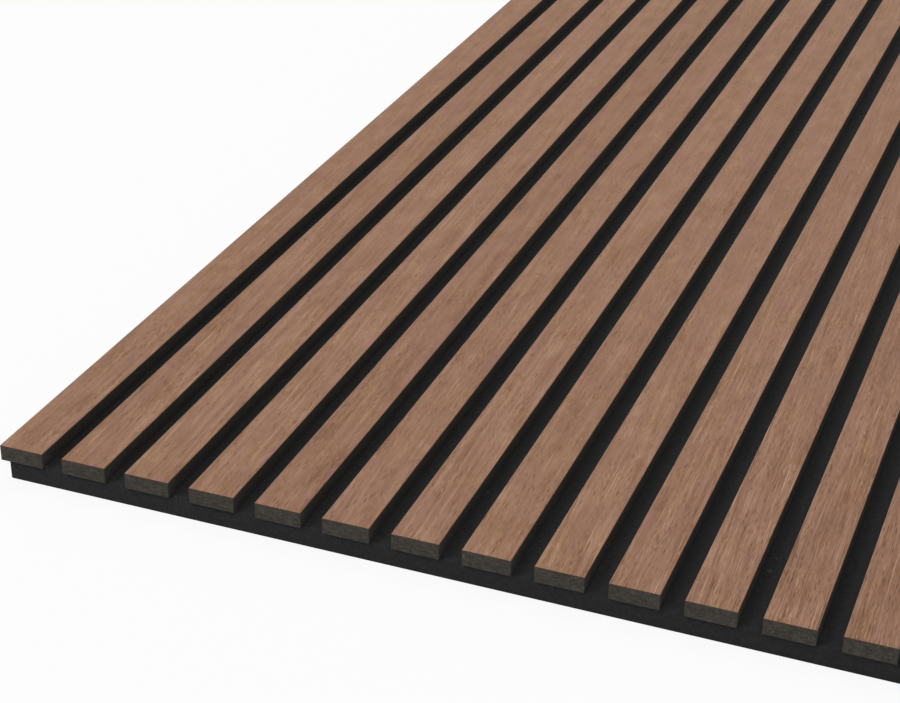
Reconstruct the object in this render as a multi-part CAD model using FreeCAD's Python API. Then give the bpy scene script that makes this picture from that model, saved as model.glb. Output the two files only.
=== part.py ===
import FreeCAD, Part
import math
import os

# An acoustic slat wall panel, lying on its back with its slats up.
# Lengths are in millimetres. X runs across the slats, Y along them, and +Z points out of the face.
# The origin is the centre of the felt board's back face.

# Slats: a black fibreboard core with a wood veneer on its face
slat_count = 15
slat_width = 27.0
slat_gap = 13.0
core_thickness = 9.0
veneer_thickness = 0.6
veneer_arris_radius = 0.25

# Felt board that carries the slats, and how far they pass it at the side and at each end
slat_length = 2400.0
felt_thickness = 12.0
slat_overhang = 4.5
slat_end_overhang = 1.2

# Flat-wire staples, driven through the felt into each slat from behind
staple_crown_width = 10.0
staple_wire_width = 1.2
staple_wire_thickness = 0.7
staple_bend_radius = 1.0
staple_point_length = 1.2
staple_bite = 4.3
staple_end_distance = 40.0
staple_spacing_limit = 300.0

# Room around a staple
staple_sink = 0.3
dimple_margin = 0.8
staple_clearance = 0.05

# The slats repeat at one pitch, and the felt is a whole number of pitches wide,
# so that the slats run on evenly from one panel to the next.
slat_pitch = slat_width + slat_gap
felt_width = slat_count * slat_pitch
felt_length = slat_length - 2 * slat_end_overhang
felt_left = -felt_width / 2
felt_front = -felt_length / 2
slat_front = -slat_length / 2

# The first slat passes the felt's left edge, and lies over the bare strip of the panel beside it.
first_slat_left = felt_left - slat_overhang

# Heights above the back face
core_bottom = felt_thickness
core_top = core_bottom + core_thickness

# A staple's legs are as long as the felt and the bite need.
staple_leg_length = felt_thickness - staple_sink + staple_bite

staple_run = slat_length - 2 * staple_end_distance
staple_steps = math.ceil(staple_run / staple_spacing_limit)
staple_spacing = staple_run / staple_steps


def slat_left(index):
    """X of a slat's left side, counted from 0 at the left."""
    return first_slat_left + index * slat_pitch


def slat_name(piece, index):
    return f"{piece}_{index + 1:02d}"


def staple_heights():
    """Y of each staple under one slat, evenly spaced and symmetric about the middle."""
    first = -staple_run / 2
    return [first + step * staple_spacing for step in range(staple_steps + 1)]


def box(left, front, bottom, width, length, height):
    corner = FreeCAD.Vector(left, front, bottom)
    return Part.makeBox(width, length, height, corner)


def extruded_outline(points, length):
    """A closed outline in XZ, given as (x, z) pairs, extruded along Y about its middle."""
    corners = [FreeCAD.Vector(x, -length / 2, z) for x, z in points]
    face = Part.Face(Part.makePolygon(corners + corners[:1]))
    return face.extrude(FreeCAD.Vector(0, length, 0))


def along_y_at(shape, x, z):
    """The straight edges of a shape that run along Y at one X and one height."""
    found = []
    for edge in shape.Edges:
        ends = [vertex.Point for vertex in edge.Vertexes]
        if all(abs(end.x - x) < 1e-6 and abs(end.z - z) < 1e-6 for end in ends):
            found.append(edge)
    return found


def staple_outline(growth):
    """Outline of a staple, crown down on z = 0, grown sideways and past its points by a clearance."""
    outer = staple_crown_width / 2 + growth
    inner = staple_crown_width / 2 - staple_wire_thickness - growth
    shoulder = staple_leg_length - staple_point_length + growth
    tip = staple_leg_length + growth
    crown_top = staple_wire_thickness
    return [
        (-outer, 0),
        (outer, 0),
        (outer, shoulder),
        (inner, tip),
        (inner, crown_top),
        (-inner, crown_top),
        (-inner, tip),
        (-outer, shoulder),
    ]


def make_staple():
    """One staple of flat wire, with chisel points and bent shoulders."""
    staple = extruded_outline(staple_outline(0), staple_wire_width)
    half = staple_crown_width / 2
    bends = along_y_at(staple, -half, 0) + along_y_at(staple, half, 0)
    return staple.makeFillet(staple_bend_radius, bends)


def make_staple_room():
    """What one staple takes out of the felt and the slat: its legs' holes and the crown's dimple."""
    legs = extruded_outline(staple_outline(staple_clearance), staple_wire_width + 2 * staple_clearance)
    dimple_width = staple_crown_width + 2 * dimple_margin
    dimple_length = staple_wire_width + 2 * dimple_margin
    dimple = box(
        -dimple_width / 2,
        -dimple_length / 2,
        -staple_sink,
        dimple_width,
        dimple_length,
        staple_sink + staple_wire_thickness,
    )
    return legs.fuse(dimple).removeSplitter()


def placed_under_slat(shape, slat_middle):
    """A copy of a staple-shaped solid at each staple of the slat whose middle is at this X."""
    copies = []
    for y in staple_heights():
        copy = shape.copy()
        copy.translate(FreeCAD.Vector(slat_middle, y, staple_sink))
        copies.append(copy)
    return copies


def make_felt():
    felt = box(felt_left, felt_front, 0, felt_width, felt_length, felt_thickness)
    room = make_staple_room()
    rooms = []
    for index in range(slat_count):
        rooms += placed_under_slat(room, slat_left(index) + slat_width / 2)
    return felt.cut(rooms)


def make_core():
    """The first slat's core, with the holes that its staples' legs make in its underside."""
    left = slat_left(0)
    core = box(left, slat_front, core_bottom, slat_width, slat_length, core_thickness)
    return core.cut(placed_under_slat(make_staple_room(), left + slat_width / 2))


def make_veneer():
    """The first slat's veneer, with its two long corners sanded round."""
    left = slat_left(0)
    right = left + slat_width
    veneer = box(left, slat_front, core_top, slat_width, slat_length, veneer_thickness)
    face = core_top + veneer_thickness
    corners = along_y_at(veneer, left, face) + along_y_at(veneer, right, face)
    return veneer.makeFillet(veneer_arris_radius, corners)


def make_staples():
    """Every staple of the panel, as one group of separate solids."""
    staple = make_staple()
    staples = []
    for index in range(slat_count):
        staples += placed_under_slat(staple, slat_left(index) + slat_width / 2)
    return Part.makeCompound(staples)


def moved_to_slat(shape, index):
    copy = shape.copy()
    copy.translate(FreeCAD.Vector(index * slat_pitch, 0, 0))
    return copy


def make_panel():
    """Every node of the panel by name."""
    core = make_core()
    veneer = make_veneer()
    nodes = {"felt_backing": make_felt(), "staples": make_staples()}
    for index in range(slat_count):
        nodes[slat_name("slat_core", index)] = moved_to_slat(core, index)
        nodes[slat_name("slat_veneer", index)] = moved_to_slat(veneer, index)
    return nodes


os.makedirs("parts", exist_ok=True)
for name, shape in make_panel().items():
    shape.exportStep(f"parts/{name}.step")
    print(name, "solids", len(shape.Solids), "volume", round(shape.Volume, 1), "valid", shape.isValid())
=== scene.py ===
# %% [markdown]
# An acoustic slat wall panel, lying on its back with its slats up. Narrow boards of black
# fibreboard with a walnut veneer stand side by side on a board of black felt. The construction
# is already solid and at its real size, so this lesson adds the looks: the veneer's grain, the
# sawn ends of the boards, the felt with its stray fibres, and the studio around them.

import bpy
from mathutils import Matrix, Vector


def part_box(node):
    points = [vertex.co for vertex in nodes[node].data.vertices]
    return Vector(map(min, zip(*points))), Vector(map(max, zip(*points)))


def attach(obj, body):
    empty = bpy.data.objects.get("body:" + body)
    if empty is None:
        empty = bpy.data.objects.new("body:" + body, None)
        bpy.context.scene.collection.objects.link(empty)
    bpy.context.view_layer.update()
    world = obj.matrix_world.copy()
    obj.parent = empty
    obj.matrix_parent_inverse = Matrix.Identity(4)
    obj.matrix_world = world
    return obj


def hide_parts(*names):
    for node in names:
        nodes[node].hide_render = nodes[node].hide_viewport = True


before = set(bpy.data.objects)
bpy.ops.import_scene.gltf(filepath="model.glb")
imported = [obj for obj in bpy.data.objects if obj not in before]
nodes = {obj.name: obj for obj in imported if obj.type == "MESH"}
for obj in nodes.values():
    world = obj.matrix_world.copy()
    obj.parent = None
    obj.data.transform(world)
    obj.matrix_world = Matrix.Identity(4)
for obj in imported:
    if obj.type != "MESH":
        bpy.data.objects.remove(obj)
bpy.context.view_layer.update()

# %% [markdown]
# Blender's own modules draw and model, and a few of Python's help with numbers and with chance.
# Blender works in metres, so one name stands for a millimetre. The panel has no moving parts, so
# every piece rides on one body.

# %% Tools of this lesson
import math
import random
from types import SimpleNamespace

import bmesh
import bpy
from mathutils import Matrix, Vector

MM = 0.001
BODY = "root"
print("Blender", bpy.app.version_string)

# %% [markdown]
# The sizes of the slats and the felt are read from the frame, so the looks follow the
# construction. A slat is one core with one veneer on it, and the slats repeat at an even pitch.
# The sizes could be typed in instead, but then a wider slat would leave its grain behind.

# %% Sizes from the frame
core_names = sorted(name for name in nodes if name.startswith("slat_core"))
veneer_names = sorted(name for name in nodes if name.startswith("slat_veneer"))
first_low, first_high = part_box(core_names[0])
second_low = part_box(core_names[1])[0]
felt_low, felt_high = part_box("felt_backing")
slat_width = first_high.x - first_low.x
slat_pitch = second_low.x - first_low.x
slat_gap = slat_pitch - slat_width
slat_left = first_low.x
slat_count = len(core_names)
print("slats", slat_count)
print("width", round(slat_width / MM, 2), "mm, pitch", round(slat_pitch / MM, 2), "mm")

# %% [markdown]
# Two helpers serve every material. Colours are written as sRGB hex, the way they're picked from
# a screen, and one function turns them linear. Nodes could be placed and wired by hand in the
# shader editor. The other function adds a node, with its settings and whatever is plugged into
# it, so that a material reads as a list of steps.

# %% Helpers for materials
# Sockets of the node that mixes two colours.
MIX_A, MIX_B, MIX_COLOUR = 6, 7, 2


def colour(hex_code):
    """An sRGB hex colour as linear red, green, blue and alpha."""
    channels = [int(hex_code[i : i + 2], 16) / 255 for i in (0, 2, 4)]
    linear = [c / 12.92 if c <= 0.04045 else ((c + 0.055) / 1.055) ** 2.4 for c in channels]
    return (*linear, 1.0)


def add(tree, kind, inputs=None, **settings):
    """Adds a node. inputs maps a socket to a value or to the output that feeds it."""
    made = tree.nodes.new(kind)
    for name, value in settings.items():
        setattr(made, name, value)
    for socket, value in (inputs or {}).items():
        if isinstance(value, bpy.types.NodeSocket):
            tree.links.new(value, made.inputs[socket])
        else:
            made.inputs[socket].default_value = value
    return made


print("the grey 808080 is", round(colour("808080")[0], 3), "in linear light")

# %% [markdown]
# Every material starts alike: an empty list of nodes, the place on the piece in millimetres,
# and a ramp that turns a pattern into colours. Blender's generated coordinates would stretch a
# pattern with the piece. Object coordinates keep it at its real size, on a slat of any length.

# %% Start of a material
def new_material(name):
    """An empty material with its node tree."""
    material = bpy.data.materials.new(name)
    material.use_nodes = True
    material.node_tree.nodes.clear()
    return material, material.node_tree


def place_on_piece(tree):
    """The coordinates of the point that is coloured, and its place in millimetres."""
    where = add(tree, "ShaderNodeTexCoord")
    place = add(
        tree,
        "ShaderNodeVectorMath",
        {0: where.outputs["Object"], "Scale": 1 / MM},
        operation="SCALE",
    ).outputs[0]
    return where, place


def set_ramp(ramp, stops):
    """Gives a colour ramp its stops, as (position, colour) pairs."""
    while len(ramp.color_ramp.elements) > 1:
        ramp.color_ramp.elements.remove(ramp.color_ramp.elements[-1])
    ramp.color_ramp.elements[0].position = stops[0][0]
    ramp.color_ramp.elements[0].color = stops[0][1]
    for position, value in stops[1:]:
        ramp.color_ramp.elements.new(position).color = value
    return ramp


def wear(piece, material):
    """Gives a piece this material and no other."""
    piece.data.materials.clear()
    piece.data.materials.append(material)


print("materials so far", len(bpy.data.materials))

# %% [markdown]
# The veneer is American walnut: leaves about half a millimetre thick, sliced from a log, glued
# on and given a matt finish, so that their pores stay open. A picture of wood could be laid on
# each face, but it would repeat from slat to slat and blur close up. A pattern that is worked
# out from the place on the slat never repeats and fits a slat of any length, so this wood is
# grown from noise, layer by layer. All its lengths are in millimetres.
#
# Each slat is cut from another leaf. The first step finds which slat a point lies on, and where
# the point lies in that leaf's part of the log: across it, along it and deep into it.

# %% The leaf of each slat
# Counted from 0, leaves up to the first number are mottled, and those from the second on are
# straight grained.
mottled_until, straight_from = 8.0, 10.0

# How far apart in the log the leaves are taken, in millimetres: at most along it, and each one
# deeper than the last.
leaf_shift_along, leaf_shift_deep = 2000.0, 37.7


def find_leaf(tree, place):
    """A point's place in the log, and what is drawn or set for the leaf that it is on."""
    axes = add(tree, "ShaderNodeSeparateXYZ", {0: place})
    x, y = axes.outputs[0], axes.outputs[1]
    from_first = add(
        tree, "ShaderNodeMath", {0: x, 1: (slat_gap / 2 - slat_left) / MM}, operation="ADD"
    ).outputs[0]
    in_pitches = add(
        tree, "ShaderNodeMath", {0: from_first, 1: slat_pitch / MM}, operation="DIVIDE"
    ).outputs[0]
    number = add(tree, "ShaderNodeMath", {0: in_pitches}, operation="FLOOR").outputs[0]
    fraction = add(tree, "ShaderNodeMath", {0: in_pitches}, operation="FRACT").outputs[0]
    across = add(
        tree,
        "ShaderNodeMath",
        {0: fraction, 1: slat_pitch / MM, 2: -slat_pitch / 2 / MM},
        operation="MULTIPLY_ADD",
    ).outputs[0]
    noise = add(tree, "ShaderNodeTexWhiteNoise", {"W": number}, noise_dimensions="1D")
    draws = add(tree, "ShaderNodeSeparateColor", {0: noise.outputs["Color"]}).outputs
    along = add(
        tree,
        "ShaderNodeMath",
        {0: draws[0], 1: leaf_shift_along, 2: y},
        operation="MULTIPLY_ADD",
    ).outputs[0]
    deep = add(
        tree, "ShaderNodeMath", {0: number, 1: leaf_shift_deep}, operation="MULTIPLY"
    ).outputs[0]
    straight = add(
        tree,
        "ShaderNodeMapRange",
        {"Value": number, "From Min": mottled_until, "From Max": straight_from},
    ).outputs[0]
    return SimpleNamespace(
        y=y,
        across=across,
        along=along,
        deep=deep,
        straight=straight,
        pith_draw=draws[1],
        slope_draw=draws[2],
        tone_draw=noise.outputs["Value"],
    )


print("mottled up to leaf", mottled_until, "and straight grained from", straight_from)

# %% [markdown]
# A log is never quite straight, so the grain leans a degree or two against the slat, wanders
# over a forearm's length and ripples over a finger's. Turning the whole pattern would give the
# first, but not the other two. So the place across the leaf is pushed sideways instead, and
# every later pattern reads the pushed place.

# %% The run of the grain
# Sideways drift for each millimetre along the slat, and how much it varies from leaf to leaf.
grain_slope, grain_slope_spread = 0.030, 0.015

# How the grain wanders, in millimetres: wavelength across and along, and how far it is pushed.
wander_layers = (
    (45.0, 220.0, 6.0),
    (6.0, 20.0, 0.9),
)


def squeeze(width, length):
    """The factors that make a pattern of unit size come out this wide and this long."""
    return (1 / width, 1 / length, 1.0)


def run_grain(tree, leaf):
    """The distance across the grain, and the place in a log whose grain runs true."""
    log = add(
        tree, "ShaderNodeCombineXYZ", {0: leaf.across, 1: leaf.along, 2: leaf.deep}
    ).outputs[0]
    slope = add(
        tree,
        "ShaderNodeMapRange",
        {
            "Value": leaf.slope_draw,
            "To Min": grain_slope - grain_slope_spread,
            "To Max": grain_slope + grain_slope_spread,
        },
    ).outputs[0]
    across_grain = add(
        tree, "ShaderNodeMath", {0: leaf.y, 1: slope, 2: leaf.across}, operation="MULTIPLY_ADD"
    ).outputs[0]
    for width, length, push in wander_layers:
        stretched = add(
            tree,
            "ShaderNodeVectorMath",
            {0: log, 1: squeeze(width, length)},
            operation="MULTIPLY",
        ).outputs[0]
        wander = add(
            tree, "ShaderNodeTexNoise", {"Vector": stretched, "Scale": 1.0, "Detail": 1.0}
        ).outputs[0]
        across_grain = add(
            tree,
            "ShaderNodeMath",
            {0: wander, 1: push, 2: across_grain},
            operation="MULTIPLY_ADD",
        ).outputs[0]
    grain = add(
        tree, "ShaderNodeCombineXYZ", {0: across_grain, 1: leaf.along, 2: leaf.deep}
    ).outputs[0]
    return across_grain, grain


print("the grain leans about", round(math.degrees(math.atan(grain_slope)), 1), "degrees")

# %% [markdown]
# Growth rings are shells round the log's pith. A slat's face cuts them at a slant, which draws
# bands and long arches. The wave texture has rings too, but they are all alike. Here the
# distance from the pith reads a noise along one line, so some years come out wide and some
# narrow.

# %% Growth rings
# In millimetres, how far apart the rings are, and how far beside and below a slat the log's pith
# lies. The slant is how far the pith drifts away for each millimetre along the slat.
ring_spacing = 3.6
ring_slant = 0.030
pith_sideways, pith_below = 45.0, 20.0


def grow_rings(tree, leaf, across_grain):
    """The light and dark of the growth rings, from 0 to 1."""
    pith_side = add(
        tree,
        "ShaderNodeMapRange",
        {"Value": leaf.pith_draw, "To Min": -pith_sideways, "To Max": pith_sideways},
    ).outputs[0]
    from_pith = add(
        tree, "ShaderNodeMath", {0: across_grain, 1: pith_side}, operation="SUBTRACT"
    ).outputs[0]
    over_pith = add(
        tree,
        "ShaderNodeMath",
        {0: leaf.along, 1: ring_slant, 2: -pith_below},
        operation="MULTIPLY_ADD",
    ).outputs[0]
    spoke = add(tree, "ShaderNodeCombineXYZ", {0: from_pith, 1: over_pith, 2: 0.0}).outputs[0]
    radius = add(tree, "ShaderNodeVectorMath", {0: spoke}, operation="LENGTH").outputs["Value"]
    year = add(
        tree,
        "ShaderNodeMath",
        {0: radius, 1: 1 / ring_spacing, 2: leaf.deep},
        operation="MULTIPLY_ADD",
    ).outputs[0]
    return add(
        tree,
        "ShaderNodeTexNoise",
        {"W": year, "Scale": 1.0, "Detail": 1.0, "Roughness": 0.6},
        noise_dimensions="1D",
    ).outputs[0]


print("growth rings about every", ring_spacing, "mm")

# %% [markdown]
# Between the rings, some fibres are denser than others and show as streaks. Three noises,
# stretched along the grain, give streaks from hair-fine to a few millimetres wide, and a fourth
# gives patches half as wide as a slat. Each has its own strength in a mottled leaf and in a
# straight-grained one. Colours could be mixed layer by layer, but they would turn muddy. So the
# layers add up to one number, the tone, and a single ramp turns it into wood.

# %% Streaks and tone
# How strongly the rings show, how far the leaves' shades differ, and how much paler or darker
# each kind of leaf is.
ring_strength = 0.28
leaf_tone_spread = 0.07
mottled_tone, straight_tone = 0.018, -0.010

# Streaks and broad patches: width and length in millimetres, how much detail, and how strongly
# each shows in a mottled leaf and in a straight-grained one.
streak_layers = (
    (0.75, 6.0, 1.0, 0.38, 0.42),
    (0.60, 30.0, 1.0, 0.28, 0.90),
    (2.4, 70.0, 1.0, 0.48, 0.46),
)
patch_layers = ((12.0, 26.0, 2.0, 0.36, 0.22),)

# How strong the fine figure is in each kind of leaf. It calms down between these two places
# along the slats, away from the near end.
mottled_figure, straight_figure = 0.91, 1.00
figure_fades_from, figure_fades_to, faded_figure = -1160.0, -600.0, 0.49


def figure_strength(tree, leaf):
    """How strongly this leaf's fine figure shows at this point."""
    leaf_figure = add(
        tree,
        "ShaderNodeMapRange",
        {"Value": leaf.straight, "To Min": mottled_figure, "To Max": straight_figure},
    ).outputs[0]
    fade = {"From Min": figure_fades_from, "From Max": figure_fades_to}
    faded = add(
        tree,
        "ShaderNodeMapRange",
        {"Value": leaf.y, **fade, "To Min": 1.0, "To Max": faded_figure},
    ).outputs[0]
    return add(
        tree, "ShaderNodeMath", {0: leaf_figure, 1: faded}, operation="MULTIPLY"
    ).outputs[0]


def add_layers(tree, tone, leaf, grain, layers):
    """A tone with these layers of streaks added to it, each about its own middle."""
    for width, length, detail, mottled_strength, straight_strength in layers:
        stretched = add(
            tree,
            "ShaderNodeVectorMath",
            {0: grain, 1: squeeze(width, length)},
            operation="MULTIPLY",
        ).outputs[0]
        streaks = add(
            tree,
            "ShaderNodeTexNoise",
            {"Vector": stretched, "Scale": 1.0, "Detail": detail, "Roughness": 0.6},
        ).outputs[0]
        centred = add(
            tree, "ShaderNodeMath", {0: streaks, 1: 0.5}, operation="SUBTRACT"
        ).outputs[0]
        strength = add(
            tree,
            "ShaderNodeMapRange",
            {"Value": leaf.straight, "To Min": mottled_strength, "To Max": straight_strength},
        ).outputs[0]
        tone = add(
            tree, "ShaderNodeMath", {0: centred, 1: strength, 2: tone}, operation="MULTIPLY_ADD"
        ).outputs[0]
    return tone


def wood_tone(tree, leaf, grain, rings, figure):
    """Rings, streaks and patches added up about the leaf's own shade."""
    fine = add(
        tree,
        "ShaderNodeMath",
        {0: rings, 1: ring_strength, 2: -ring_strength / 2},
        operation="MULTIPLY_ADD",
    ).outputs[0]
    fine = add_layers(tree, fine, leaf, grain, streak_layers)
    own_shade = add(
        tree,
        "ShaderNodeMapRange",
        {
            "Value": leaf.tone_draw,
            "To Min": 0.5 - leaf_tone_spread / 2,
            "To Max": 0.5 + leaf_tone_spread / 2,
        },
    ).outputs[0]
    kind_shade = add(
        tree,
        "ShaderNodeMapRange",
        {"Value": leaf.straight, "To Min": mottled_tone, "To Max": straight_tone},
    ).outputs[0]
    shade = add(
        tree, "ShaderNodeMath", {0: own_shade, 1: kind_shade}, operation="ADD"
    ).outputs[0]
    tone = add(
        tree, "ShaderNodeMath", {0: fine, 1: figure, 2: shade}, operation="MULTIPLY_ADD"
    ).outputs[0]
    return add_layers(tree, tone, leaf, grain, patch_layers)


print("streaks and patches", [layer[0] for layer in streak_layers + patch_layers], "mm wide")

# %% [markdown]
# Walnut's vessels are tubes that the knife opens lengthwise, so they show as short dark dashes,
# with pale ones between them where the light catches a fibre. Thin noise would make threads
# without ends. Cells stretched along the grain, with one dash at most in each, give dashes of a
# set length. Real vessels are a tenth or two of a millimetre wide, too fine to show from here,
# so they are drawn two to three times as wide.

# %% Vessels
# Dashes: spacing across and along the grain and half width in millimetres, and how strongly
# they show.
pore_layers = (
    (1.3, 14.0, 0.27, 0.88),
    (0.8, 10.0, 0.20, 0.82),
)
pale_layers = (
    (1.7, 10.0, 0.32, 0.60),
    (2.6, 120.0, 0.40, 0.85),
)

# The share of a dash's half width at which it starts to fade and at which it is gone, and the
# random draws between which a cell's dash goes from hidden to full.
dash_core, dash_edge = 0.6, 1.3
dash_hidden, dash_full = 0.20, 0.60


def dashes(tree, place, layers):
    """A mask of short streaks along the grain, one at most in each cell of the pattern."""
    mask = 0.0
    for spacing_across, spacing_along, half_width, strength in layers:
        stretched = add(
            tree,
            "ShaderNodeVectorMath",
            {0: place, 1: squeeze(spacing_across, spacing_along)},
            operation="MULTIPLY",
        ).outputs[0]
        cells = add(tree, "ShaderNodeTexVoronoi", {"Vector": stretched, "Scale": 1.0})
        reach = half_width / spacing_across
        dash = add(
            tree,
            "ShaderNodeMapRange",
            {
                "Value": cells.outputs["Distance"],
                "From Min": dash_core * reach,
                "From Max": dash_edge * reach,
                "To Min": strength,
                "To Max": 0.0,
            },
        ).outputs[0]
        draw = add(tree, "ShaderNodeSeparateColor", {0: cells.outputs["Color"]}).outputs[0]
        shown = add(
            tree,
            "ShaderNodeMapRange",
            {"Value": draw, "From Min": dash_hidden, "From Max": dash_full},
        ).outputs[0]
        dash = add(tree, "ShaderNodeMath", {0: dash, 1: shown}, operation="MULTIPLY").outputs[0]
        mask = add(tree, "ShaderNodeMath", {0: dash, 1: mask}, operation="MAXIMUM").outputs[0]
    return mask


print("vessels", [2 * layer[2] for layer in pore_layers], "mm wide")

# %% [markdown]
# Vessels crowd together in some zones of a leaf and are nearly absent from others, and its
# colour drifts from patch to patch. Spots set by hand could do that on one slat. A broad noise,
# cut off softly between two limits, marks out such zones on all of them, and one colour is laid
# over another where its masks are open.

# %% Zones and layers of colour
# The width and length in millimetres of the patches of another hue, and of the vessels' zones.
hue_patch = (9.0, 50.0)
pore_zone_size = (11.0, 60.0)

# How the noise of each kind of zone turns into a mask. The pale dashes keep to where the hue's
# noise is low.
pinker_fade = {"From Min": 0.35, "From Max": 0.65, "To Max": 0.34}
pore_fade = {"From Min": 0.36, "From Max": 0.58, "To Min": 0.20}
pale_fade = {"From Min": 0.38, "From Max": 0.58, "To Min": 1.0, "To Max": 0.2}


def zone_mask(tree, grain, size, fade):
    """Soft patches of this width and length, as noise and as a mask between set limits."""
    stretched = add(
        tree, "ShaderNodeVectorMath", {0: grain, 1: squeeze(*size)}, operation="MULTIPLY"
    ).outputs[0]
    noise = add(
        tree, "ShaderNodeTexNoise", {"Vector": stretched, "Scale": 1.0, "Detail": 1.0}
    ).outputs[0]
    return noise, add(tree, "ShaderNodeMapRange", {"Value": noise, **fade}).outputs[0]


def masked_colour(tree, below, above, masks):
    """One colour laid over another where all the masks are open."""
    share = masks[0]
    for mask in masks[1:]:
        share = add(
            tree, "ShaderNodeMath", {0: share, 1: mask}, operation="MULTIPLY"
        ).outputs[0]
    return add(
        tree, "ShaderNodeMix", {0: share, MIX_A: below, MIX_B: above}, data_type="RGBA"
    ).outputs[MIX_COLOUR]


def facing(tree, where, axis):
    """1 where the surface faces along this axis, either way, and 0 where it runs along it."""
    normal = add(tree, "ShaderNodeSeparateXYZ", {0: where.outputs["Normal"]}).outputs[axis]
    return add(tree, "ShaderNodeMath", {0: normal}, operation="ABSOLUTE").outputs[0]


print("vessel zones", pore_zone_size, "mm, hue patches", hue_patch, "mm")

# %% [markdown]
# Now the layers come together. A ramp from chocolate to pale tan colours the tone, and some
# patches turn a little greyer and pinker, as walnut's heartwood does. Then come the dark
# vessels, which also dent the surface, and the pale dashes. The leaf's cut ends are end grain,
# which drinks the finish and stays dark. A gloss varnish would mirror the lamps, but this
# finish is matt, so the surface is rough and returns little light as gloss.

# %% Walnut veneer
wood_tones = [
    (0.15, colour("603E27")),
    (0.42, colour("856046")),
    (0.55, colour("936E53")),
    (0.85, colour("B38F76")),
]
pinker_wood, end_grain = colour("926D60"), colour("45352B")
vessel_brown, pale_fibre = colour("472610"), colour("B9967F")

# In millimetres, how far the pale dashes' pattern is moved, and how deep a vessel is.
pale_shift = (31.0, 530.0, 5.5)
pore_groove = 0.15


def make_walnut_veneer():
    """Matt walnut veneer, grown from noise."""
    material, tree = new_material("walnut_veneer")
    where, place = place_on_piece(tree)
    leaf = find_leaf(tree, place)
    across_grain, grain = run_grain(tree, leaf)
    rings = grow_rings(tree, leaf, across_grain)
    figure = figure_strength(tree, leaf)
    tone = wood_tone(tree, leaf, grain, rings, figure)
    wood = set_ramp(add(tree, "ShaderNodeValToRGB", {"Fac": tone}), wood_tones).outputs["Color"]
    hue, pinker = zone_mask(tree, grain, hue_patch, pinker_fade)
    wood = masked_colour(tree, wood, pinker_wood, [pinker])

    pore_zone = zone_mask(tree, grain, pore_zone_size, pore_fade)[1]
    pores = dashes(tree, grain, pore_layers)
    wood = masked_colour(tree, wood, vessel_brown, [pores, pore_zone, figure])

    pale_zone = add(tree, "ShaderNodeMapRange", {"Value": hue, **pale_fade}).outputs[0]
    pale_place = add(
        tree, "ShaderNodeVectorMath", {0: grain, 1: pale_shift}, operation="ADD"
    ).outputs[0]
    pale = dashes(tree, pale_place, pale_layers)
    wood = masked_colour(tree, wood, pale_fibre, [pale, pale_zone, figure])
    wood = masked_colour(tree, wood, end_grain, [facing(tree, where, 1)])

    grooves = add(
        tree,
        "ShaderNodeBump",
        {"Height": pores, "Strength": 0.5, "Distance": pore_groove * MM},
        invert=True,
    ).outputs[0]
    surface = add(
        tree,
        "ShaderNodeBsdfPrincipled",
        {"Base Color": wood, "Roughness": 0.68, "IOR": 1.5, "Normal": grooves},
    )
    surface.inputs["Specular IOR Level"].default_value = 0.25
    add(tree, "ShaderNodeOutputMaterial", {"Surface": surface.outputs[0]})
    return material


walnut_veneer = make_walnut_veneer()
for name in veneer_names:
    wear(nodes[name], walnut_veneer)
print("walnut veneer on", len(veneer_names), "faces")
print("its nodes", len(walnut_veneer.node_tree.nodes))

# %% [markdown]
# The core is medium-density fibreboard, dyed black right through. Its sawn ends show what it is
# made of. Pressed fibre lies in flat layers, so their mottle is drawn out sideways, and the saw
# left faint scores at a slant. One even grey would do from afar, but the ends are the nearest
# thing to the eye here.

# %% Sawn ends of the cores
# Sizes in millimetres: the clumps of fibre along the board's face and through it, and the saw's
# scores, whose slant is in degrees.
mottle_size = (2.86, 2.86, 1.25)
score_width, score_length, score_slant = 1.1, 14.0, 38
score_fade = {"From Min": 0.56, "From Max": 0.72, "To Max": 0.45}
sawn_tones = [(0.30, colour("2D2A26")), (0.50, colour("3F3B35")), (0.70, colour("4F4B44"))]
score_black = colour("2A2722")


def sawn_fibre(tree, place):
    """The colour of the sawn fibre with the saw's scores, and its mottle."""
    layered = add(
        tree, "ShaderNodeVectorMath", {0: place, 1: mottle_size}, operation="DIVIDE"
    ).outputs[0]
    mottle = add(
        tree,
        "ShaderNodeTexNoise",
        {"Vector": layered, "Scale": 1.0, "Detail": 5.0, "Roughness": 0.7},
    ).outputs[0]
    sawn = set_ramp(
        add(tree, "ShaderNodeValToRGB", {"Fac": mottle}), sawn_tones
    ).outputs["Color"]
    slanted = add(
        tree,
        "ShaderNodeVectorRotate",
        {"Vector": place, "Axis": (0.0, 1.0, 0.0), "Angle": math.radians(score_slant)},
        rotation_type="AXIS_ANGLE",
    ).outputs[0]
    score_place = add(
        tree,
        "ShaderNodeVectorMath",
        {0: slanted, 1: (score_width, 1.0, score_length)},
        operation="DIVIDE",
    ).outputs[0]
    noise = add(
        tree, "ShaderNodeTexNoise", {"Vector": score_place, "Scale": 1.0, "Detail": 1.0}
    ).outputs[0]
    scores = add(tree, "ShaderNodeMapRange", {"Value": noise, **score_fade}).outputs[0]
    return masked_colour(tree, sawn, score_black, [scores]), mottle


print("saw scores", score_width, "mm wide at", score_slant, "degrees")

# %% [markdown]
# Torn fibre bundles leave dark pits in the ends, and cut ones show as pale grains. A noise
# would give blots of every size. Here both come from one pattern of cells, whose random numbers
# say which cell holds a pit, which a grain, and which neither.

# %% Pits and grains
# The width of a cell in millimetres, and how its spot fades out, as shares of that width.
pit_spacing = 1.6
spot_fade = {"From Min": 0.10, "From Max": 0.42, "To Min": 1.0, "To Max": 0.0}

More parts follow.
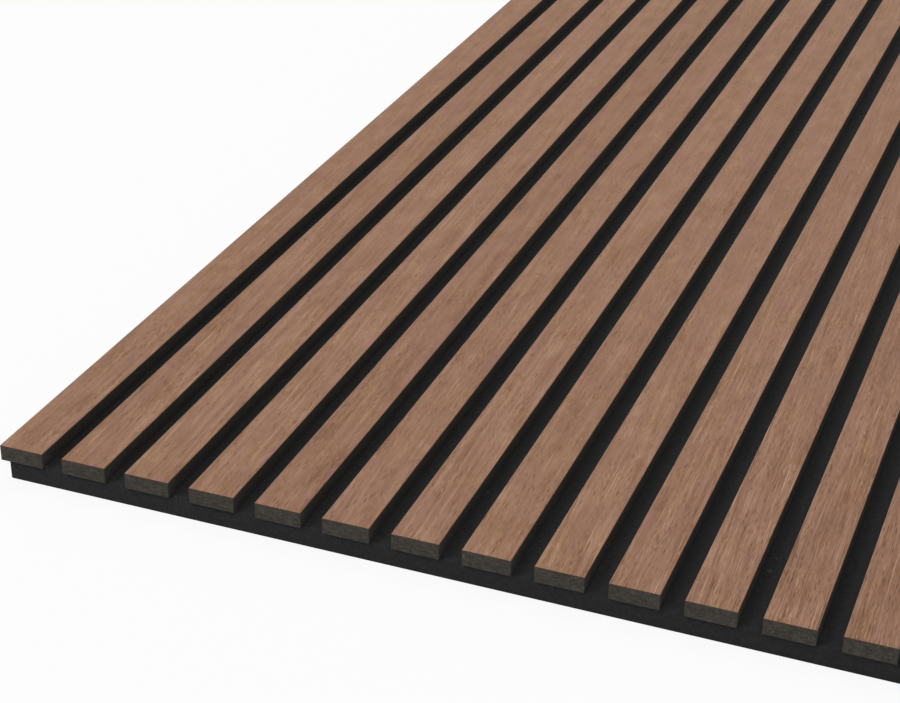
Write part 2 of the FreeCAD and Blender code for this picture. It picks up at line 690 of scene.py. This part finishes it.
# The random draws between which a cell's pit, or its grain, goes from hidden to full.
pit_shown = {"From Min": 0.72, "From Max": 0.95}
grain_shown = {"From Min": 0.88, "From Max": 1.0}


def pits_and_grains(tree, place):
    """A mask of pits and one of grains."""
    cells = add(tree, "ShaderNodeTexVoronoi", {"Vector": place, "Scale": 1 / pit_spacing})
    draws = add(tree, "ShaderNodeSeparateColor", {0: cells.outputs["Color"]}).outputs
    distance = cells.outputs["Distance"]
    spots = add(tree, "ShaderNodeMapRange", {"Value": distance, **spot_fade}).outputs[0]
    masks = []
    for draw, limits in ((draws[0], pit_shown), (draws[1], grain_shown)):
        shown = add(tree, "ShaderNodeMapRange", {"Value": draw, **limits}).outputs[0]
        mask = add(
            tree, "ShaderNodeMath", {0: spots, 1: shown}, operation="MULTIPLY"
        ).outputs[0]
        masks.append(mask)
    return masks


print("pits and grains in cells of", pit_spacing, "mm")

# %% [markdown]
# The long sides are the same fibreboard, smoother than the ends, and coloured darker with
# painted shade, as if they lay in shadow.
# A second material could be given to the end faces, but the way a face points tells the two
# apart as well, and it still holds when the construction is rebuilt.

# %% Dyed fibreboard
pit_black, cut_grain = colour("23201C"), colour("5A554D")
# Painted shade: the long sides are coloured darker than the sawn ends, as if in shadow.
shaded_side_tones = [(0.30, colour("2E2C29")), (0.70, colour("3B3935"))]

# In millimetres, how wide the patches on the long sides are, and how far the sawn fibre stands
# out.
side_patch = 3.3
fibre_relief = 0.2


def make_dyed_fibreboard():
    """Black through-dyed fibreboard, sawn at the ends, with painted shade darkening its long
    sides.
    """
    material, tree = new_material("dyed_fibreboard")
    where, place = place_on_piece(tree)
    sawn, mottle = sawn_fibre(tree, place)
    pits, grains = pits_and_grains(tree, place)
    sawn = masked_colour(tree, sawn, cut_grain, [grains])
    sawn = masked_colour(tree, sawn, pit_black, [pits])
    side_noise = add(
        tree, "ShaderNodeTexNoise", {"Vector": place, "Scale": 1 / side_patch, "Detail": 3.0}
    ).outputs[0]
    shaded_sides = set_ramp(
        add(tree, "ShaderNodeValToRGB", {"Fac": side_noise}), shaded_side_tones
    ).outputs["Color"]
    # The long sides take the darker tones as painted shade, and the ends take the sawn fibre.
    finished = masked_colour(tree, shaded_sides, sawn, [facing(tree, where, 1)])
    relief = add(tree, "ShaderNodeMath", {0: mottle, 1: pits}, operation="SUBTRACT").outputs[0]
    bump = add(
        tree,
        "ShaderNodeBump",
        {"Height": relief, "Strength": 0.5, "Distance": fibre_relief * MM},
    ).outputs[0]
    surface = add(
        tree,
        "ShaderNodeBsdfPrincipled",
        {"Base Color": finished, "Roughness": 0.85, "IOR": 1.5, "Normal": bump},
    )
    surface.inputs["Specular IOR Level"].default_value = 0.25
    add(tree, "ShaderNodeOutputMaterial", {"Surface": surface.outputs[0]})
    return material


dyed_fibreboard = make_dyed_fibreboard()
for name in core_names:
    wear(nodes[name], dyed_fibreboard)
print("dyed fibreboard on", len(core_names), "cores")

# %% [markdown]
# The backing is needled polyester felt. Barbed needles have punched its fibres every way, so it
# has no grain, only a tangle. Millions of real strands would choke the computer, so the tangle
# is noise: stretched thin along four directions, with only its crests kept. A fibre is thinner
# than a hair and wouldn't show, so each crest stands for a bundle.

# %% The tangle of the felt
# Fibre directions, as turns about X, Y and Z in degrees, and how strongly each one's fibres
# show.
fibre_turns = (
    ((20, 10, 15), 1.0),
    ((-35, 25, 75), 0.9),
    ((50, -20, 130), 1.0),
    ((15, 60, 40), 0.8),
)

# A bundle's width and length in millimetres, and the values between which a crest comes up.
bundle_size = (0.2, 5.2, 0.2)
crest_fade = {"From Min": 0.56, "From Max": 0.74}


def felt_bundles(tree, place):
    """A mask of fibre bundles that run every way."""
    bundles = 0.0
    for turn, strength in fibre_turns:
        turned = add(
            tree,
            "ShaderNodeVectorRotate",
            {"Vector": place, "Rotation": [math.radians(angle) for angle in turn]},
            rotation_type="EULER_XYZ",
        ).outputs[0]
        stretched = add(
            tree, "ShaderNodeVectorMath", {0: turned, 1: bundle_size}, operation="DIVIDE"
        ).outputs[0]
        noise = add(
            tree, "ShaderNodeTexNoise", {"Vector": stretched, "Scale": 1.0, "Detail": 1.0}
        ).outputs[0]
        crests = add(
            tree, "ShaderNodeMapRange", {"Value": noise, **crest_fade, "To Max": strength}
        ).outputs[0]
        bundles = add(
            tree, "ShaderNodeMath", {0: crests, 1: bundles}, operation="MAXIMUM"
        ).outputs[0]
    return bundles


print("fibre bundles in", len(fibre_turns), "directions")

# %% [markdown]
# Felt scatters what little light it returns, so it is as rough as a material can be, with a
# breath of sheen from the fibre tips. A velvet shader would give more sheen than felt has. Its
# cut faces are painted paler than its pressed top and back: painted light, as if they caught
# more light than the top.

# %% Polyester felt
felt_tones = [(0.30, colour("222222")), (0.55, colour("2A2A2A")), (0.80, colour("323232"))]
bundle_grey = colour("3D3D3D")

# How wide the felt's clumps are in millimetres, how strongly its bundles show, and how much
# paler a cut face is painted, as painted light.
felt_patch = 2.86
bundle_share = 0.55
cut_face_painted_light = 1.10

# How deep its relief is in millimetres, and how far the clumps stand out against the bundles.
felt_relief = 0.25
clump_height = 1.5


def make_polyester_felt():
    """Needled black felt, with its cut faces painted a little paler as painted light."""
    material, tree = new_material("polyester_felt")
    where, place = place_on_piece(tree)
    mottle = add(
        tree,
        "ShaderNodeTexNoise",
        {"Vector": place, "Scale": 1 / felt_patch, "Detail": 4.0, "Roughness": 0.65},
    ).outputs[0]
    black = set_ramp(
        add(tree, "ShaderNodeValToRGB", {"Fac": mottle}), felt_tones
    ).outputs["Color"]
    bundles = felt_bundles(tree, place)
    fibred = masked_colour(tree, black, bundle_grey, [bundles, bundle_share])

    # Painted light: the cut faces are made paler than the top and back, as if they caught more
    # light.
    pressed = facing(tree, where, 2)
    painted_light_gain = add(
        tree, "ShaderNodeMapRange", {"Value": pressed, "To Min": cut_face_painted_light, "To Max": 1.0}
    ).outputs[0]
    fibred = add(
        tree, "ShaderNodeVectorMath", {0: fibred, "Scale": painted_light_gain}, operation="SCALE"
    ).outputs[0]

    height = add(
        tree,
        "ShaderNodeMath",
        {0: mottle, 1: clump_height, 2: bundles},
        operation="MULTIPLY_ADD",
    ).outputs[0]
    bump = add(
        tree,
        "ShaderNodeBump",
        {"Height": height, "Strength": 0.6, "Distance": felt_relief * MM},
    ).outputs[0]
    surface = add(
        tree,
        "ShaderNodeBsdfPrincipled",
        {"Base Color": fibred, "Roughness": 1.0, "Sheen Weight": 0.02, "Normal": bump},
    )
    surface.inputs["Specular IOR Level"].default_value = 0.1
    add(tree, "ShaderNodeOutputMaterial", {"Surface": surface.outputs[0]})
    return material


polyester_felt = make_polyester_felt()
print("polyester felt", len(polyester_felt.node_tree.nodes), "nodes")

# %% [markdown]
# These are the steps of modelling by hand, one function each: select one piece, write its place
# into its mesh, add a box, add a modifier and apply it, and give the piece its material and its
# body.
# They could be written out each time, but an operator acts on all that is selected, and a step
# that is written once never forgets to deselect first.

# %% Helpers for modelling
def only(piece):
    """Makes one object the active one and the only one selected."""
    bpy.ops.object.select_all(action="DESELECT")
    piece.select_set(True)
    bpy.context.view_layer.objects.active = piece


def settle():
    """Writes the active object's place, turn and size into its mesh."""
    bpy.ops.object.transform_apply(location=True, rotation=True, scale=True)


def add_cube(name, middle, size):
    """A box of this size about this point, at the origin like the CAD pieces."""
    bpy.ops.object.select_all(action="DESELECT")
    bpy.ops.mesh.primitive_cube_add(size=1, location=middle, scale=size)
    cube = bpy.context.object
    cube.name = name
    settle()
    return cube


def apply_modifier(piece, kind, **settings):
    """Adds a modifier with these settings and applies it."""
    only(piece)
    modifier = piece.modifiers.new(kind.lower(), kind)
    for name, value in settings.items():
        setattr(modifier, name, value)
    bpy.ops.object.modifier_apply(modifier=modifier.name)


def dress(piece, material):
    """Gives a new piece its material and the body that it rides on."""
    wear(piece, material)
    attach(piece, BODY)


# %% [markdown]
# Each slat is glued to the felt and stapled from behind, and each staple's crown lies in a
# dimple that it has pressed into the felt's back. The rows' spacing could be typed in, but then
# the dimples would miss staples that are moved. So the places are read from the frame: the
# staples' points fall into rows along the panel.

# %% Rows of staples
staple_points = [vertex.co for vertex in nodes["staples"].data.vertices]
staple_rows = []
for y in sorted(point.y for point in staple_points):
    if not staple_rows or y - staple_rows[-1][-1] > slat_pitch:
        staple_rows.append([])
    staple_rows[-1].append(y)
row_middles = [(row[0] + row[-1]) / 2 for row in staple_rows]
row_spacing = (row_middles[-1] - row_middles[0]) / (len(row_middles) - 1)
crown_ends = [point.x for point in staple_points if point.x < first_high.x]
crown_width = max(crown_ends) - min(crown_ends)
wire_width = staple_rows[0][-1] - staple_rows[0][0]
crown_size = Vector((crown_width, wire_width, 0))
print("staple rows", len(staple_rows), "every", round(row_spacing / MM, 1), "mm")

# %% [markdown]
# The felt board starts as a cube at the board's size. A knife leaves felt with soft edges, so
# they are bevelled. The dimples could be sculpted one by one. Here one cutter, repeated across
# the slats and along the rows, presses all of them at once, and it moves with the staples.

# %% Felt board
edge_softness = 0.7 * MM
smooth_below = math.radians(30)
dimple_margin = 0.8 * MM
dimple_depth = 1.0 * MM
dimple_softness = 0.3 * MM

felt_board = add_cube("felt_board", (felt_high + felt_low) / 2, felt_high - felt_low)
apply_modifier(felt_board, "BEVEL", width=edge_softness, segments=3)
cutter = add_cube(
    "dimple_cutter",
    (slat_left + slat_width / 2, row_middles[0], felt_low.z),
    crown_size + Vector((2 * dimple_margin, 2 * dimple_margin, 2 * dimple_depth)),
)
apply_modifier(cutter, "BEVEL", width=dimple_softness, segments=2)
for step, count in (((slat_pitch, 0, 0), slat_count), ((0, row_spacing, 0), len(staple_rows))):
    apply_modifier(
        cutter,
        "ARRAY",
        count=count,
        use_relative_offset=False,
        use_constant_offset=True,
        constant_offset_displace=step,
    )
apply_modifier(felt_board, "BOOLEAN", operation="DIFFERENCE", solver="EXACT", object=cutter)
bpy.data.objects.remove(cutter, do_unlink=True)
only(felt_board)
bpy.ops.object.shade_smooth_by_angle(angle=smooth_below)
dress(felt_board, polyester_felt)
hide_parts("felt_backing")
print("felt board", len(felt_board.data.polygons), "faces")

# %% [markdown]
# Felt sheds. Stray fibres lie in the gaps and stand off the cut ends. A particle system could
# strew them, but hair doesn't go into an export as it is. So a fibre is modelled as a thin
# cylinder, cut into short lengths and bent twice. Four fibres of different bends are enough,
# and each stray one is a copy. Real fibres are much finer, and these are as thin as still
# shows.

# %% Model a fibre
fibre_radius = 0.035 * MM
lint_radius = 0.05 * MM
fibre_sides, fibre_cuts = 4, 7

# Each shape's length in millimetres, and its two bends in degrees.
fibre_bends = ((4.0, 70, 40), (6.0, 150, -60), (8.0, -110, 90), (5.0, 220, 30))
lint_bends = ((3.0, 260, 120), (4.0, 200, -150))


def add_fibre(name, length, first_bend, second_bend, radius):
    """One fibre lying along X on the ground, bent once sideways and once upwards."""
    bpy.ops.object.select_all(action="DESELECT")
    bpy.ops.mesh.primitive_cylinder_add(vertices=fibre_sides, radius=radius, depth=length)
    fibre = bpy.context.object
    fibre.name = name
    bpy.ops.object.mode_set(mode="EDIT")
    bpy.ops.mesh.select_all(action="DESELECT")
    mesh = bmesh.from_edit_mesh(fibre.data)
    for edge in mesh.edges:
        edge.select_set(abs(edge.verts[0].co.z - edge.verts[1].co.z) > length / 2)
    bmesh.update_edit_mesh(fibre.data)
    bpy.ops.mesh.subdivide(number_cuts=fibre_cuts)
    bpy.ops.object.mode_set(mode="OBJECT")
    for axis, bend in (("X", first_bend), ("Y", second_bend)):
        apply_modifier(
            fibre,
            "SIMPLE_DEFORM",
            deform_method="BEND",
            deform_axis=axis,
            angle=math.radians(bend),
        )
    fibre.rotation_euler = (0, math.pi / 2, 0)
    settle()
    fibre.location.z = -min(vertex.co.z for vertex in fibre.data.vertices)
    settle()
    return fibre


fibre_shapes = [
    add_fibre("fibre_shape", length * MM, first_bend, second_bend, fibre_radius)
    for length, first_bend, second_bend in fibre_bends
]
lint_shapes = [
    add_fibre("lint_shape", length * MM, first_bend, second_bend, lint_radius)
    for length, first_bend, second_bend in lint_bends
]
print("fibre shapes", len(fibre_shapes), "lint shapes", len(lint_shapes))

# %% [markdown]
# A seeded draw gives each fibre its place and its turn, so that they lie the same way on every
# run. Those in the gaps keep clear of the slats, and those on the two cut ends are stood
# upright and pressed flatter.

# %% Strew the fibres
gap_fibre_count, end_fibre_count = 500, 160
wall_clearance = 3.3 * MM
fibre_sunk = 0.1 * MM
end_fibre_heights = (2.8 * MM, 9.0 * MM)
end_fibre_flatness, end_fibre_lean = 0.7, 0.6
random.seed(11)


def joined_copies(name, shapes, places):
    """A copy of a drawn shape at each place, which is a matrix, joined into one piece."""
    bpy.ops.object.select_all(action="DESELECT")
    for place in places:
        copy = bpy.data.objects.new(name, random.choice(shapes).data.copy())
        bpy.context.scene.collection.objects.link(copy)
        copy.data.transform(place)
        copy.select_set(True)
    bpy.context.view_layer.objects.active = copy
    bpy.ops.object.join()
    copy.name = name
    return copy


fibre_spots = []
for _ in range(gap_fibre_count):
    gap_left = slat_left + slat_width + slat_pitch * random.randrange(slat_count - 1)
    spot = Vector(
        (
            random.uniform(gap_left + wall_clearance, gap_left + slat_gap - wall_clearance),
            random.uniform(felt_low.y + wall_clearance, felt_high.y - wall_clearance),
            felt_high.z - fibre_sunk,
        )
    )
    turn = Matrix.Rotation(random.uniform(0, 2 * math.pi), 4, "Z")
    fibre_spots.append(Matrix.Translation(spot) @ turn)
for end_y, outward in ((felt_low.y + fibre_sunk, 1), (felt_high.y - fibre_sunk, -1)):
    for _ in range(end_fibre_count):
        end_x = random.uniform(felt_low.x + wall_clearance, felt_high.x - wall_clearance)
        spot = Vector((end_x, end_y, random.uniform(*end_fibre_heights)))
        stand = Matrix.Rotation(outward * math.pi / 2, 4, "X")
        turn = Matrix.Rotation(random.uniform(-end_fibre_lean, end_fibre_lean), 4, "Z")
        flatten = Matrix.Scale(end_fibre_flatness, 4, (0, 0, 1))
        fibre_spots.append(Matrix.Translation(spot) @ stand @ turn @ flatten)
stray_fibres = joined_copies("stray_fibres", fibre_shapes, fibre_spots)
dress(stray_fibres, polyester_felt)
print("stray fibres", len(stray_fibres.data.polygons), "faces")

# %% [markdown]
# A few bits of pale lint have settled on the felt, where the photograph shows them. Each is a
# knot of a few curled strands. A pale spot could be painted on the felt, but it would lie flat
# in it, and lint doesn't.

# %% Lint
# How many strands make a knot, and how far they spread in millimetres.
lint_strands = 5
lint_spread = 0.4

# Each knot's place in millimetres, and its size: on the felt's top, and on its near cut face.
lint_places = (
    ((-276.8, -1197.4, 12.0), 0.8),
    ((-194.7, -1197.2, 12.0), 0.6),
    ((-270.1, -1160.5, 12.0), 0.5),
    ((7.0, -1163.9, 12.0), 0.6),
    ((2.8, -1191.0, 12.0), 0.5),
    ((126.8, -1145.7, 12.0), 0.9),
    ((127.1, -1132.0, 12.0), 0.6),
    ((-36.3, -1128.8, 12.0), 0.6),
    ((-116.2, -1103.1, 12.0), 0.5),
)
end_lint_places = (
    ((-151.0, -1198.7, 4.1), 0.35),
    ((-133.1, -1198.7, 4.6), 0.4),
    ((72.1, -1198.7, 5.8), 0.4),
)


def make_pale_lint():
    """Household lint, pale grey and quite matt."""
    material, tree = new_material("pale_lint")
    surface = add(
        tree, "ShaderNodeBsdfPrincipled", {"Base Color": colour("767674"), "Roughness": 1.0}
    )
    add(tree, "ShaderNodeOutputMaterial", {"Surface": surface.outputs[0]})
    return material


lint_spots = []
for places, stand in ((lint_places, 0.0), (end_lint_places, math.pi / 2)):
    stood = Matrix.Rotation(stand, 4, "X")
    for place, size in places:
        for _ in range(lint_strands):
            shift = [random.uniform(-lint_spread, lint_spread) for _ in "xy"] + [0]
            spot = (Vector(place) + stood @ Vector(shift)) * MM
            turn = Matrix.Rotation(random.uniform(0, 2 * math.pi), 4, "Z")
            lint_spots.append(Matrix.Translation(spot) @ stood @ turn @ Matrix.Scale(size, 4))
lint = joined_copies("lint", lint_shapes, lint_spots)
dress(lint, make_pale_lint())
for shape in fibre_shapes + lint_shapes:
    bpy.data.objects.remove(shape, do_unlink=True)
print("lint", len(lint.data.polygons), "faces")

# %% [markdown]
# The staples are galvanised steel wire. Zinc dulls to an uneven light grey with a soft shine.
# Its spangle could be drawn crystal by crystal, but the staples sit in their dimples behind the
# panel, so a metal whose grey varies a little from patch to patch is all that they need.

# %% Galvanised staple wire
zinc_tones = [(0.3, colour("8E9092")), (0.7, colour("B4B6B7"))]

# How wide the zinc's patches are, in millimetres.
zinc_patch = 1.1


def make_galvanised_wire():
    """Dull zinc on steel wire."""
    material, tree = new_material("galvanised_wire")
    place = place_on_piece(tree)[1]
    noise = add(
        tree, "ShaderNodeTexNoise", {"Vector": place, "Scale": 1 / zinc_patch, "Detail": 3.0}
    ).outputs[0]
    zinc = set_ramp(
        add(tree, "ShaderNodeValToRGB", {"Fac": noise}), zinc_tones
    ).outputs["Color"]
    surface = add(tree, "ShaderNodeBsdfPrincipled", {"Base Color": zinc, "Roughness": 0.38})
    surface.inputs["Metallic"].default_value = 1.0
    add(tree, "ShaderNodeOutputMaterial", {"Surface": surface.outputs[0]})
    return material


wear(nodes["staples"], make_galvanised_wire())
print("galvanised wire on", len(staple_rows) * slat_count, "staples")

# %% [markdown]
# The studio is a white floor in white air. More light would turn both white, and the wood pale
# with them. So the camera, mirrors and glass are shown plain white, while the rest of the light
# sees paper and dim air, and the floor keeps a share of real paper to hold the soft shadow.

# %% White floor and air
# The floor's width in metres and its drop below the panel, the share of it that is plain white,
# and the strength of the air's light.
floor_size = 30.0
floor_drop = 0.2 * MM
floor_glow = 0.90
air_light = 0.52


def seen_plainly(tree):
    """1 for what the camera, a mirror or glass looks at, and 0 for light that spreads."""
    ray = add(tree, "ShaderNodeLightPath").outputs
    seen = ray["Is Camera Ray"]
    for other in ("Is Glossy Ray", "Is Transmission Ray"):
        seen = add(
            tree, "ShaderNodeMath", {0: seen, 1: ray[other]}, operation="MAXIMUM"
        ).outputs[0]
    return seen


def make_studio_white():
    """Paper that glows for the camera and keeps a share of its shadow."""
    material, tree = new_material("studio_white")
    paper = add(tree, "ShaderNodeBsdfDiffuse", {"Color": colour("E6E6E6")}).outputs[0]
    glow = add(
        tree, "ShaderNodeEmission", {"Color": colour("FFFFFF"), "Strength": 1.0}
    ).outputs[0]
    share = add(
        tree, "ShaderNodeMath", {0: seen_plainly(tree), 1: floor_glow}, operation="MULTIPLY"
    ).outputs[0]
    mixed = add(tree, "ShaderNodeMixShader", {0: share, 1: paper, 2: glow}).outputs[0]
    add(tree, "ShaderNodeOutputMaterial", {"Surface": mixed})
    return material


def make_studio_air():
    """Air that lights the panel dimly and is white to look at."""
    world = bpy.data.worlds.new("studio_air")
    world.use_nodes = True
    tree = world.node_tree
    tree.nodes.clear()
    white = colour("FFFFFF")
    lit = add(tree, "ShaderNodeBackground", {"Color": white, "Strength": air_light}).outputs[0]
    plain = add(tree, "ShaderNodeBackground", {"Color": white, "Strength": 1.0}).outputs[0]
    mixed = add(
        tree, "ShaderNodeMixShader", {0: seen_plainly(tree), 1: lit, 2: plain}
    ).outputs[0]
    add(tree, "ShaderNodeOutputWorld", {"Surface": mixed})
    return world


bpy.ops.object.select_all(action="DESELECT")
bpy.ops.mesh.primitive_plane_add(size=floor_size, location=(0, 0, -floor_drop))
floor = bpy.context.object
floor.name = "studio_floor"
settle()
floor.data.materials.append(make_studio_white())
bpy.context.scene.world = make_studio_air()
print("floor", floor_size, "m wide")

# %% [markdown]
# Two large soft boxes light the panel: a key from the left, near the camera, and a second one
# from above. One lamp alone would leave the gaps black. Together with the air they are set so
# that a colour shows about as it is written, and so that the slats' right sides fall into
# shadow.

# %% Soft boxes
def add_softbox(name, place, target, size, power):
    """A square lamp that looks at a point. Lengths in metres, power in watts."""
    light = bpy.data.lights.new(name, "AREA")
    light.shape = "SQUARE"
    light.size = size
    light.energy = power
    lamp = bpy.data.objects.new(name, light)
    bpy.context.scene.collection.objects.link(lamp)
    lamp.location = place
    lamp.rotation_euler = (Vector(target) - Vector(place)).to_track_quat("-Z", "Y").to_euler()


add_softbox("key_softbox", place=(-3.5, -3.6, 5.2), target=(0, -0.7, 0), size=2.5, power=175)
add_softbox("top_softbox", place=(0.2, 1.4, 5.0), target=(0, -0.3, 0), size=3.0, power=64)
print("lamps", len(bpy.data.lights))

# %% [markdown]
# The camera stands where the photograph's camera stood. Its place, its turns and its focal
# length were fitted to the edges of the slats. Its turns are written as angles, because they
# say at a glance how it looks: along the slats from their near end, and down on them.

# %% Camera
# Turns in degrees, the place in metres, and the focal length in pixels of the photograph.
camera_azimuth = 20.981
camera_elevation = 28.459
camera_roll = 0.568
camera_place = Vector((0.27199, -1.99316, 0.59807))
focal_pixels = 1955.89
image_width = 900
sensor_width = 36.0

azimuth = math.radians(camera_azimuth)
elevation = math.radians(camera_elevation)
roll = math.radians(camera_roll)
back = Vector(
    (
        math.sin(azimuth) * math.cos(elevation),
        -math.cos(azimuth) * math.cos(elevation),
        math.sin(elevation),
    )
)
right = (-back).cross(Vector((0, 0, 1))).normalized()
up = right.cross(-back)
rolled_right = math.cos(roll) * right + math.sin(roll) * up
rolled_up = -math.sin(roll) * right + math.cos(roll) * up
turn = Matrix((rolled_right, rolled_up, back)).transposed()
camera_data = bpy.data.cameras.new("camera")
camera_data.sensor_width = sensor_width
camera_data.lens = focal_pixels / image_width * sensor_width
camera = bpy.data.objects.new("camera", camera_data)
camera.matrix_world = Matrix.Translation(camera_place) @ turn.to_4x4()
bpy.context.scene.collection.objects.link(camera)
bpy.context.scene.camera = camera
bpy.context.scene.view_settings.view_transform = "Standard"
print("lens", round(camera_data.lens, 2), "mm")
